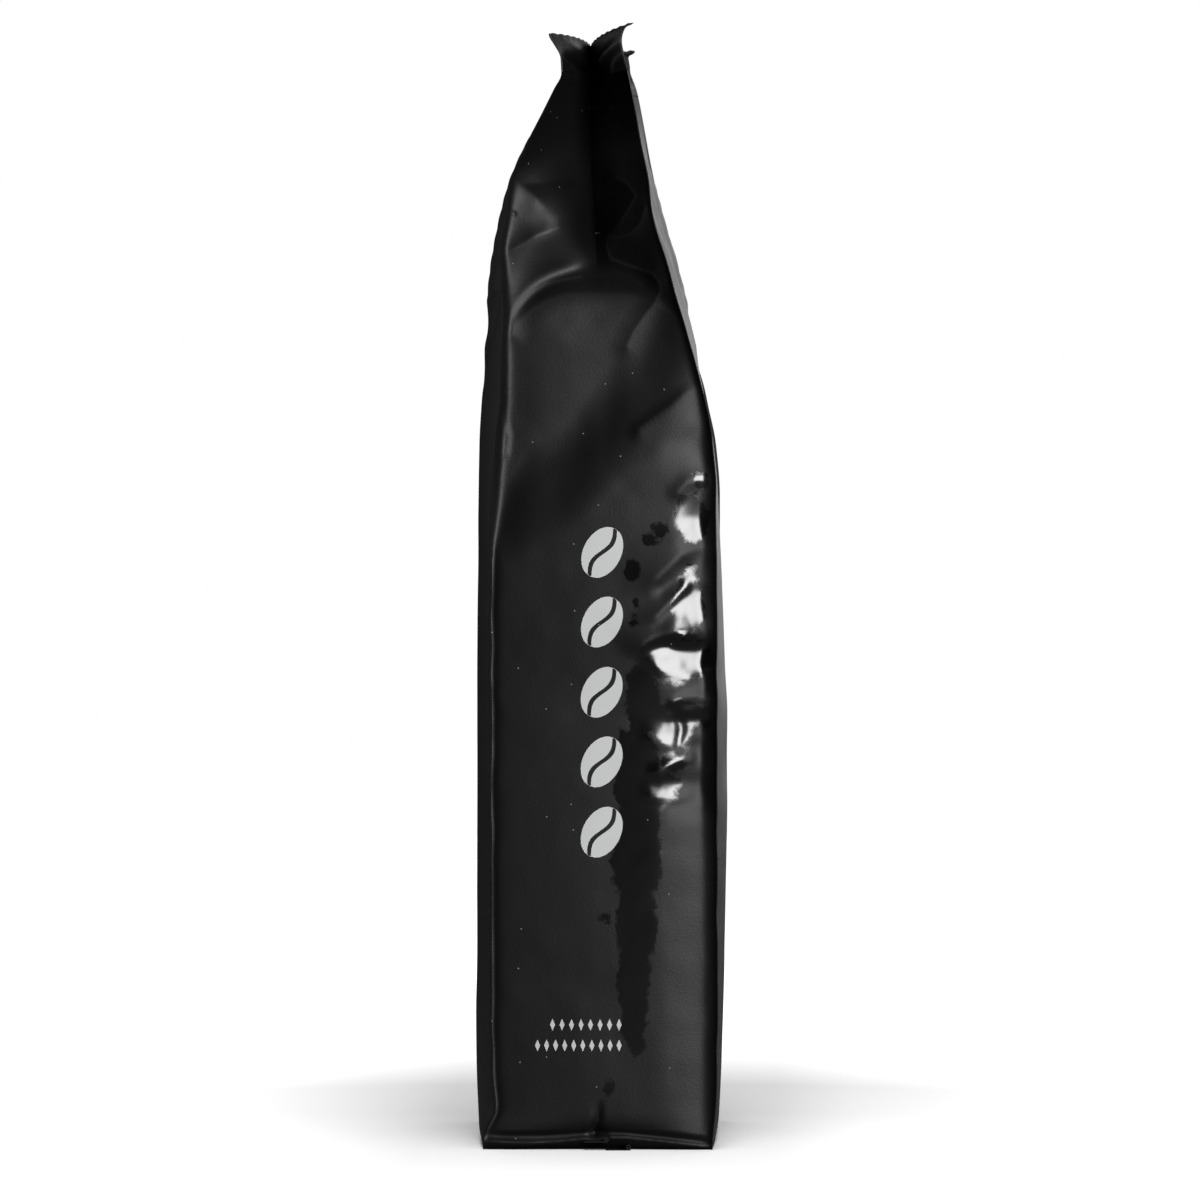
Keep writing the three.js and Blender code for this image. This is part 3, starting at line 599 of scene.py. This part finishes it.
def film_material(name):
    """Laminate: matt with a fine grain and pale folds, smoother in its glossy patches, whose
    edges noise makes ragged. The folds' crests are painted pale, partly as rubbed wear and
    partly as a painted glint of light. Dust lies as specks in a few random cells of the
    surface, unrolled as x + y against height."""
    material = bpy.data.materials.new(name)
    material.use_nodes = True
    tree = material.node_tree
    shader = tree.nodes["Principled BSDF"]
    shader.inputs["IOR"].default_value = 1.5
    shader.inputs["Coat Roughness"].default_value = 0.2
    shader.inputs["Coat IOR"].default_value = 1.6
    place = add_node(tree, "ShaderNodeTexCoord").outputs["Object"]
    worn_and_glint = add_node(tree, "ShaderNodeAttribute", attribute_name="wear_and_glint").outputs["Fac"]
    patch = add_node(tree, "ShaderNodeAttribute", attribute_name="gloss").outputs["Fac"]

    spread = reckon(tree, "MULTIPLY_ADD", noise(tree, place, 170, 6, 0.66), RAGGED_EDGE, -RAGGED_EDGE / 2)
    mask = ramp(tree, reckon(tree, "ADD", patch, spread), 0.42, 0.58)

    plain = ramp(tree, mask, 0, 1, MATT_ROUGHNESS, GLOSSY_ROUGHNESS)
    rough = reckon(tree, "MULTIPLY_ADD", noise(tree, place, 45, 4), MOTTLED_ROUGHNESS, plain)
    tree.links.new(rough, shader.inputs["Roughness"])
    tree.links.new(reckon(tree, "MULTIPLY", mask, COAT_IN_PATCHES), shader.inputs["Coat Weight"])

    spot = add_node(tree, "ShaderNodeSeparateXYZ", {0: place}).outputs
    around = reckon(tree, "ADD", spot["X"], spot["Y"])
    flat = add_node(tree, "ShaderNodeCombineXYZ", {"X": around, "Y": spot["Z"]}).outputs[0]
    settings = {"Vector": flat, "Scale": 120}
    cells = add_node(tree, "ShaderNodeTexVoronoi", settings, voronoi_dimensions="2D")
    chance = add_node(tree, "ShaderNodeSeparateColor", {0: cells.outputs["Color"]}).outputs[0]
    chosen = reckon(tree, "LESS_THAN", chance, DUSTY_CELLS)
    speck = reckon(tree, "MULTIPLY", ramp(tree, cells.outputs["Distance"], 0.034, 0.018), chosen)
    # Painted glint: this mix paints the crests pale, partly for rubbed wear and partly for light glinting
    # on them.
    rubbed_and_glint = blend_colours(tree, worn_and_glint, FILM_COLOUR, RUBBED_AND_GLINT_COLOUR)
    dusted = blend_colours(tree, speck, rubbed_and_glint, DUST_COLOUR)
    tree.links.new(dusted, shader.inputs["Base Color"])

    calm = reckon(tree, "MULTIPLY_ADD", mask, -0.9, 1.0)  # the grain fades in the patches
    grain = reckon(tree, "MULTIPLY", noise(tree, place, 1300, 2), calm)
    bump = add_node(tree, "ShaderNodeBump", {"Strength": 0.2, "Distance": 0.0002, "Height": grain})
    tree.links.new(bump.outputs["Normal"], shader.inputs["Normal"])
    return material


black_film = film_material("black_film")
film.data.materials.append(black_film)
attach(film, "root")
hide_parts("bag")


# ------------------------------------------------------------------------------------------
# The top seal. Both panels and the tucked gussets are pressed together in a smooth band whose
# upper edge is cut in small teeth; between the panels it is one flat strip, and beside them it
# splays out in four ears.

SEAL_START = NECK_HEIGHT + 0.8
SEAL_ROWS, SEAL_PITCH = 27, 0.65
SEAL_PROUD = 0.06  # it stands this far out of the film below it
TOOTH_PITCH, TOOTH_DEPTH = 3.8, 0.4
TOOTH_BAND = 3.0  # the teeth fade in over this height
EAR_CURL, CURL_RISE = 1.9, (361.0, 367.0)  # power of the ears' curl, and where it sets in
BEND_RISE = (360.0, 362.5)  # where the bends across the ears set in
EAR_ARCH = {(-1, -1): 0.8, (-1, 1): 0.1, (1, -1): 0.3, (1, 1): 0.2}  # rise of their top edges

# Bends across the ears, by hand: a line of (across, up) points, rise, reach on each side, roundness, and
# how pale the crest is painted, as rubbed wear and a painted glint of light.
EAR_BENDS = {
    -1: [([(-14.5, 367.6), (-11, 364.6), (-7, 362.6), (-3, 362)], -1.5, 1.7, 1.5, 0.4, 0.0),
         ([(-13.5, 370.6), (-9.5, 367.2)], 0.8, 2, 2.4, 0.6, 0.0)],
    1: [([(10.4, 373.6), (6.8, 368.6), (3.4, 364)], 2.0, 2.1, 1.4, 0.3, 0.7),
        ([(8.2, 372.5), (5, 368.3), (3, 365.5)], -1.2, 1.0, 1.0, 0.3, 0.0),
        ([(9, 366.8), (6.4, 363), (4, 359.5)], 1.5, 1.7, 1.7, 0.4, 0.6)],
}


def seal_ring(level, pitch):
    """The seal's closed loop at every level, on the surfaces of gussets and panels, standing
    proud of them by a hair, with the bends of its ears and a saw tooth along its top. Both
    skins of an ear move alike, so each panel point takes the bend of the gusset point that
    shares its place along the ear."""
    half = np.linspace(0, 1, round(HALF_GUSSET / pitch) + 1)[None, :]
    middle = np.linspace(-EAR_SHARE, EAR_SHARE, round(2 * EAR_SHARE * HALF_PANEL / pitch) + 1)
    ear = mix(EAR_SHARE, 1, half[0])
    places = np.concatenate([-ear[::-1], middle[1:-1], ear])[None, :]
    strips = []

    def bend(side, hand, along):
        x, _, z, _ = gusset(level, side, hand, along)
        width = np.abs(corner(level, side, hand)["foot"][0] - follow(TUCK_X, level))
        curl = width * (along**EAR_CURL - along) * smooth(z, *CURL_RISE)
        across = x if side < 0 else -x
        rise, rub_and_glint = relief(EAR_BENDS[-side * hand], [], across + 0 * z, z)
        arch = EAR_ARCH[side, hand] * 4 * along * (1 - along) * smooth(level, SEAL_START, SEAL_HEIGHT)
        bent = rise * smooth(z, *BEND_RISE) * (1 - along**4)
        return hand * (curl - bent), arch, rub_and_glint

    for side in (-1, 1):
        for hand, along in ((side, half[:, ::-1]), (-side, half[:, 1:])):
            x, y, z, _ = gusset(level, side, hand, along)
            moved, arch, rub_and_glint = bend(side, hand, along)
            strips.append((x + moved, y, z + arch, rub_and_glint))
        x, y, z, _ = panel(level, -side, -side * places)
        away = -side * places
        along = np.clip((np.abs(away) - EAR_SHARE) / (1 - EAR_SHARE), 0, 1)
        near, far = bend(-1, -side, along), bend(1, -side, along)
        at_ear = np.abs(away) > EAR_SHARE
        moved, arch, rub_and_glint = (np.where(away < 0, n, f) * at_ear for n, f in zip(near, far))
        strips.append((x + moved, y, z + arch, rub_and_glint))
    loop = joined(strips)
    tangent = np.roll(loop, -1, axis=1)[..., :2] - np.roll(loop, 1, axis=1)[..., :2]
    tangent /= np.linalg.norm(tangent, axis=-1, keepdims=True) + 1e-9
    loop[..., 0] += SEAL_PROUD * tangent[..., 1]
    loop[..., 1] -= SEAL_PROUD * tangent[..., 0]
    saw = np.abs((np.abs(loop[..., 1]) / TOOTH_PITCH) % 1 - 0.5) * 2
    high = smooth(level, SEAL_HEIGHT - TOOTH_BAND, SEAL_HEIGHT)
    loop[..., 2] -= TOOTH_DEPTH * (1 - saw) * high
    return loop, half.shape[1] - 1, len(middle) - 1


seal_levels = mix(SEAL_START, SEAL_HEIGHT, np.linspace(0, 1, SEAL_ROWS))[:, None]
seal_loops, ear_steps, middle_steps = seal_ring(seal_levels, SEAL_PITCH)
seal_points = seal_loops[..., :3].reshape(-1, 3)
seal_columns = seal_loops.shape[1]


def seal_caps(first, upwards):
    """Quads that close one end of the seal, joining each gusset point to the panel point
    beside it, and the two panels across the middle."""
    side_run, panel_run = 2 * ear_steps + 1, 2 * ear_steps + middle_steps + 1
    found = []
    for side in (-1, 1):
        start = 0 if side < 0 else side_run + panel_run
        for hand in (-1, 1):
            k = np.arange(ear_steps + 1)
            on_gusset = start + ear_steps - k * side * hand
            panel_start = side_run if hand > 0 else 2 * side_run + panel_run
            on_panel = panel_start + (ear_steps - k if side * hand < 0 else ear_steps + middle_steps + k)
            quads = np.stack([on_panel[1:], on_gusset[1:], on_gusset[:-1], on_panel[:-1]], -1)
            found.append(quads if side * hand > 0 else quads[:, ::-1])
    step = np.arange(middle_steps + 1)
    right = side_run + ear_steps + step
    left = 2 * side_run + panel_run + ear_steps + middle_steps - step
    found.append(np.stack([left[:-1], right[:-1], right[1:], left[1:]], -1))
    quads = np.concatenate(found)
    ends = [[ear_steps, right[0], left[0]], [side_run + panel_run + ear_steps, left[-1], right[-1]]]
    faces = quads.tolist() + ends
    return [[first + v for v in (face if upwards else face[::-1])] for face in faces]


seal_faces = grid_faces(len(seal_levels), seal_columns).tolist()
seal_faces += seal_caps(0, False) + seal_caps(len(seal_points) - seal_columns, True)
# The seal's top edge is painted pale like the crests, as rubbed wear and a painted glint.
top_rub_and_glint = np.maximum(seal_loops[..., 3], 0.4 * smooth(seal_levels, SEAL_HEIGHT - 0.4, SEAL_HEIGHT))
seal = mesh_object("top_seal", seal_points, seal_faces, [("wear_and_glint", top_rub_and_glint), ("gloss", 0 * top_rub_and_glint)])
seal.data.materials.append(black_film)
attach(seal, "root")


# ------------------------------------------------------------------------------------------
# The rolled end of the base seal. Two small tubes of the same film lie side by side at the foot
# of the shown gusset, where the two skins of the base are rolled under and welded flat.

# Each roll: its place across and up, radius, near and far end in y, and turns.
ROLLS = [
    (10.4, 1.05, 1.05, -67.2, -50.0, 1.3),
    (3.1, 3.5, 0.85, -66.9, -62.0, 2.1),
]
ROLL_SKIN = 0.32
ROLL_TAIL = 7.5  # length of the flat strip that runs out of a roll
ROLL_WEAR = 0.05


def rolled(x, z, radius, near, far, turns):
    """A strip rolled into a spiral and run along the base: its section is a spiral that opens
    into a flat tail, given the skin's thickness on both sides of that line."""
    along = np.linspace(0, 1, 60)
    angle = math.tau * turns * along
    shrink = mix(1, 0.3, along)
    path_x = x + (radius - ROLL_SKIN / 2) * shrink * np.sin(angle)
    path_z = z - (radius - ROLL_SKIN / 2) * shrink * np.cos(angle)
    tail = np.linspace(ROLL_TAIL, 0.3, 8)
    path_x = np.concatenate([x - tail, path_x])
    path_z = np.concatenate([0 * tail + z - radius + ROLL_SKIN / 2, path_z])
    turn_x, turn_z = np.gradient(path_x), np.gradient(path_z)
    size = np.hypot(turn_x, turn_z)
    aside_x, aside_z = -turn_z / size * ROLL_SKIN / 2, turn_x / size * ROLL_SKIN / 2
    line_x = np.concatenate([path_x + aside_x, (path_x - aside_x)[::-1]])
    line_z = np.maximum(np.concatenate([path_z + aside_z, (path_z - aside_z)[::-1]]), 0.02)
    rows = near + (far - near) * np.linspace(0, 1, 12)[:, None] ** 1.5
    sag = 0.12 * np.sin(rows * 0.9)
    return np.stack([line_x + 0 * rows + sag, rows + 0 * line_x, line_z + 0 * rows], -1)


roll_points, roll_faces = [], []
for x, z, radius, near, far, turns in ROLLS:
    strip = rolled(x, z, radius, near, far, turns)
    start, count = len(roll_points), strip.shape[1]
    roll_points += strip.reshape(-1, 3).tolist()
    roll_faces += [[start + v for v in face] for face in grid_faces(strip.shape[0], count).tolist()]
    last = start + (strip.shape[0] - 1) * count
    for end in (start, last):
        for i in range(count // 2 - 1):
            roll_faces.append([end + i, end + i + 1, end + count - 2 - i, end + count - 1 - i])
roll_wear = np.full(len(roll_points), ROLL_WEAR)
roll_layers = [("wear_and_glint", roll_wear), ("gloss", 0 * roll_wear)]
roll = mesh_object("base_roll", np.array(roll_points), roll_faces, roll_layers)
close_doubles(roll)
roll.data.materials.append(black_film)
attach(roll, "root")


# ------------------------------------------------------------------------------------------
# The print on the shown gusset. Five silver-white coffee beans run up the middle and two rows
# of small lozenges sit near the foot, all plain marks; thin layers of ink laid on the film.

# Places are (across, up); a row of lozenges is (first, last, count, up).
INK_PROUD = 0.07
BEAN_PLACES = [(1.6, 106), (1.6, 129.4), (1.6, 152.6), (1.7, 176), (1.8, 199.2)]
BEAN_HALF_LONG, BEAN_HALF_WIDE, BEAN_TILT = 9.0, 6.3, 28
BEAN_CUT, BEAN_WAVE = 0.75, 1.5
LOZENGE_ROWS = [(-14.8, 7.4, 8, 41.8), (-19.8, 7.4, 10, 34.9)]
LOZENGE_HALF_LONG, LOZENGE_HALF_WIDE = 2.0, 0.85


def near_wall(across, up):
    """The depth y of the shown gusset at any place on it."""
    centre = follow(TUCK_X, up)
    depth = np.zeros(np.shape(across))
    for hand in (-1, 1):
        foot = corner(up, -1, hand)["foot"][0]
        share = np.clip((across - centre) / (foot - centre), 0, 1)
        depth = np.where((across - centre) * hand >= 0, gusset(up, -1, hand, share)[1], depth)
    return depth


def ink_patch(x, z, tilt, half_long, low, high):
    """A closed layer of ink between two curves, low and high, across a tilted long axis; its
    rows run along the axis, over the top of the layer and back underneath."""
    share = np.linspace(0, 1, 9)
    share = np.concatenate([share, share[::-1]])
    proud = np.concatenate([np.ones(9), -np.ones(9)]) * INK_PROUD
    along = np.linspace(-half_long, half_long, len(low))[:, None]
    aside = mix(low[:, None], high[:, None], share)
    turn = math.radians(tilt)
    across = x + aside * math.cos(turn) + along * math.sin(turn)
    up = z - aside * math.sin(turn) + along * math.cos(turn)
    return np.stack([across, near_wall(across, up) - proud, up], -1)


patches = []
rows = np.linspace(-1, 1, 45)
for x, z in BEAN_PLACES:
    rim = BEAN_HALF_WIDE * np.sqrt(np.clip(1 - rows**2, 0, 1))
    cut_line = BEAN_WAVE * np.sin(math.pi * rows)
    lower = np.clip(cut_line - BEAN_CUT, -rim, rim)
    upper = np.clip(cut_line + BEAN_CUT, -rim, rim)
    patches.append(ink_patch(x, z, BEAN_TILT, BEAN_HALF_LONG, -rim, lower))
    patches.append(ink_patch(x, z, BEAN_TILT, BEAN_HALF_LONG, upper, rim))
rows = np.linspace(-1, 1, 9)
for first, last, count, z in LOZENGE_ROWS:
    for x in np.linspace(first, last, count):
        rim = LOZENGE_HALF_WIDE * (1 - np.abs(rows))
        patches.append(ink_patch(x, z, 0, LOZENGE_HALF_LONG, -rim, rim))
ink_points, ink_faces = [], []
for patch in patches:
    start = len(ink_points)
    ink_points += patch.reshape(-1, 3).tolist()
    ink_faces += [[start + v for v in face] for face in grid_faces(*patch.shape[:2]).tolist()]
print_marks = mesh_object("print_marks", np.array(ink_points), ink_faces, [])
close_doubles(print_marks)
ink = bpy.data.materials.new("silver_white_ink")
ink.use_nodes = True
ink_shader = ink.node_tree.nodes["Principled BSDF"]
ink_shader.inputs["Base Color"].default_value = (0.86, 0.87, 0.87, 1)
ink_shader.inputs["Roughness"].default_value = 0.42
print_marks.data.materials.append(ink)
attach(print_marks, "root")


# ------------------------------------------------------------------------------------------
# The floor, the light and the camera. A pale floor glows, to the camera alone, more the further it
# is from the bag: a painted light that leaves a painted shade round the bag and a little more glow
# in front of it, and runs into a white background. A soft box stands to the front right and dim
# cards beside, behind and above. Each light reaches only the bag, its seal or the floor. Lengths
# here are metres.

floor_mesh = bpy.data.meshes.new("floor")
floor_mesh.from_pydata([(-3, -3, 0), (3, -3, 0), (3, 3, 0), (-3, 3, 0)], [], [(0, 1, 2, 3)])
floor = bpy.data.objects.new("floor", floor_mesh)
bpy.context.scene.collection.objects.link(floor)
pale = bpy.data.materials.new("pale_floor")
pale.use_nodes = True
pale_tree = pale.node_tree
pale_shader = pale_tree.nodes["Principled BSDF"]
pale_shader.inputs["Roughness"].default_value = 0.8
pale_shader.inputs["Specular IOR Level"].default_value = 0.0
pale_shader.inputs["Emission Color"].default_value = (1, 1, 1, 1)
# The floor is pale to the camera and nearly black to the light it bounces: a lit and a shaded copy of one
# colour.
seen = add_node(pale_tree, "ShaderNodeLightPath").outputs["Is Camera Ray"]
pale_tree.links.new(ramp(pale_tree, seen, 0, 1, 0.09, 0.93), pale_shader.inputs["Base Color"])
spot = add_node(pale_tree, "ShaderNodeTexCoord").outputs["Object"]
spot_parts = add_node(pale_tree, "ShaderNodeSeparateXYZ", {0: spot}).outputs
aside = reckon(pale_tree, "ABSOLUTE", spot_parts["X"])
away = add_node(pale_tree, "ShaderNodeVectorMath", {0: spot}, operation="LENGTH").outputs["Value"]
# Painted light: the floor glows for the camera alone, weakly beside the bag, which paints a soft shade
# round it, more in front of it, and fully far from it.
glow = 0.02
for distance, start, end, most in (
    (spot_parts["Y"], 0.1, -0.03, 0.13),
    (aside, 0.06, 0.3, 0.8),
    (away, 0.25, 0.65, 1.0),
):
    glow = reckon(pale_tree, "ADD", ramp(pale_tree, distance, start, end, 0, most), glow)
glow = reckon(pale_tree, "MULTIPLY", glow, seen)
pale_tree.links.new(glow, pale_shader.inputs["Emission Strength"])
floor.data.materials.append(pale)

world = bpy.data.worlds.new("studio")
bpy.context.scene.world = world
world.use_nodes = True
sky = world.node_tree.nodes["Background"]
sky.inputs["Color"].default_value = (1, 1, 1, 1)
seen = add_node(world.node_tree, "ShaderNodeLightPath").outputs["Is Camera Ray"]
world.node_tree.links.new(ramp(world.node_tree, seen, 0, 1, 0.012), sky.inputs["Strength"])


def lit_group(name, *pieces):
    """A collection of the pieces that a light reaches."""
    group = bpy.data.collections.new(name)
    for piece in pieces:
        group.objects.link(piece)
    return group


def soft_box(name, lit, azimuth, distance, height, width, tall, radiance, aim=(0, 0, 0.19)):
    """A rectangular area light that faces a place on the bag and lights one group. Azimuth 0 is
    in front of the shown gusset and 90 to its right; its power is radiance times area times pi."""
    light = bpy.data.lights.new(name, "AREA")
    light.shape = "RECTANGLE"
    light.size, light.size_y = width, tall
    light.energy = radiance * width * tall * math.pi
    box = bpy.data.objects.new(name, light)
    turn = math.radians(azimuth)
    box.location = (distance * math.sin(turn), -distance * math.cos(turn), height)
    towards = [a - b for a, b in zip(aim, box.location)]
    box.rotation_euler = Vector(towards).to_track_quat("-Z", "Y").to_euler()
    box.visible_camera = False
    box.light_linking.receiver_collection = lit
    bpy.context.scene.collection.objects.link(box)
    return box


bag_only = lit_group("bag_only", film, seal, roll, print_marks)
floor_only = lit_group("floor_only", floor)
seal_only = lit_group("seal_only", seal)
soft_box("key_box", bag_only, 31, 1.7, 0.52, 0.7, 0.8, 12)
floor_box = soft_box("floor_box", floor_only, 90, 0.05, 1.6, 0.6, 2.8, 7.7)
floor_box.location.y = -0.95  # it hangs level, above the floor in front of the bag
floor_box.rotation_euler = (0, 0, 0)
soft_box("top_box", bag_only, 170, 0.6, 1.9, 2.2, 1.8, 0.4, (0, 0.3, 0))
soft_box("right_card", bag_only, 158, 1.6, 0.7, 1.0, 1.2, 1.7)
soft_box("side_card", bag_only, 116, 1.8, 0.7, 1.1, 1.4, 0.7)
soft_box("left_card", bag_only, -120, 1.8, 0.7, 1.1, 1.4, 0.35)
soft_box("ear_card", seal_only, -50, 1.4, 0.7, 0.6, 0.6, 6, (0, -0.06, 0.37))

# The camera looks level at the shown gusset, and a field 0.4 wide fills its frame there.
DISTANCE = 2.300
FIELD = 0.400
TURN = math.radians(1.5)
LOOK_X, LOOK_Y, EYE_HEIGHT = 0.001, -0.065, 0.18333
camera_data = bpy.data.cameras.new("camera")
camera_data.sensor_width = 36
camera_data.lens = camera_data.sensor_width * DISTANCE / FIELD
camera_data.clip_start = 0.05
camera_data.clip_end = 50
camera = bpy.data.objects.new("camera", camera_data)
camera.location = (LOOK_X + DISTANCE * math.sin(TURN), LOOK_Y - DISTANCE * math.cos(TURN), EYE_HEIGHT)
camera.rotation_euler = (math.pi / 2, 0, TURN)
bpy.context.scene.collection.objects.link(camera)
bpy.context.scene.camera = camera
bpy.context.scene.view_settings.view_transform = "Standard"
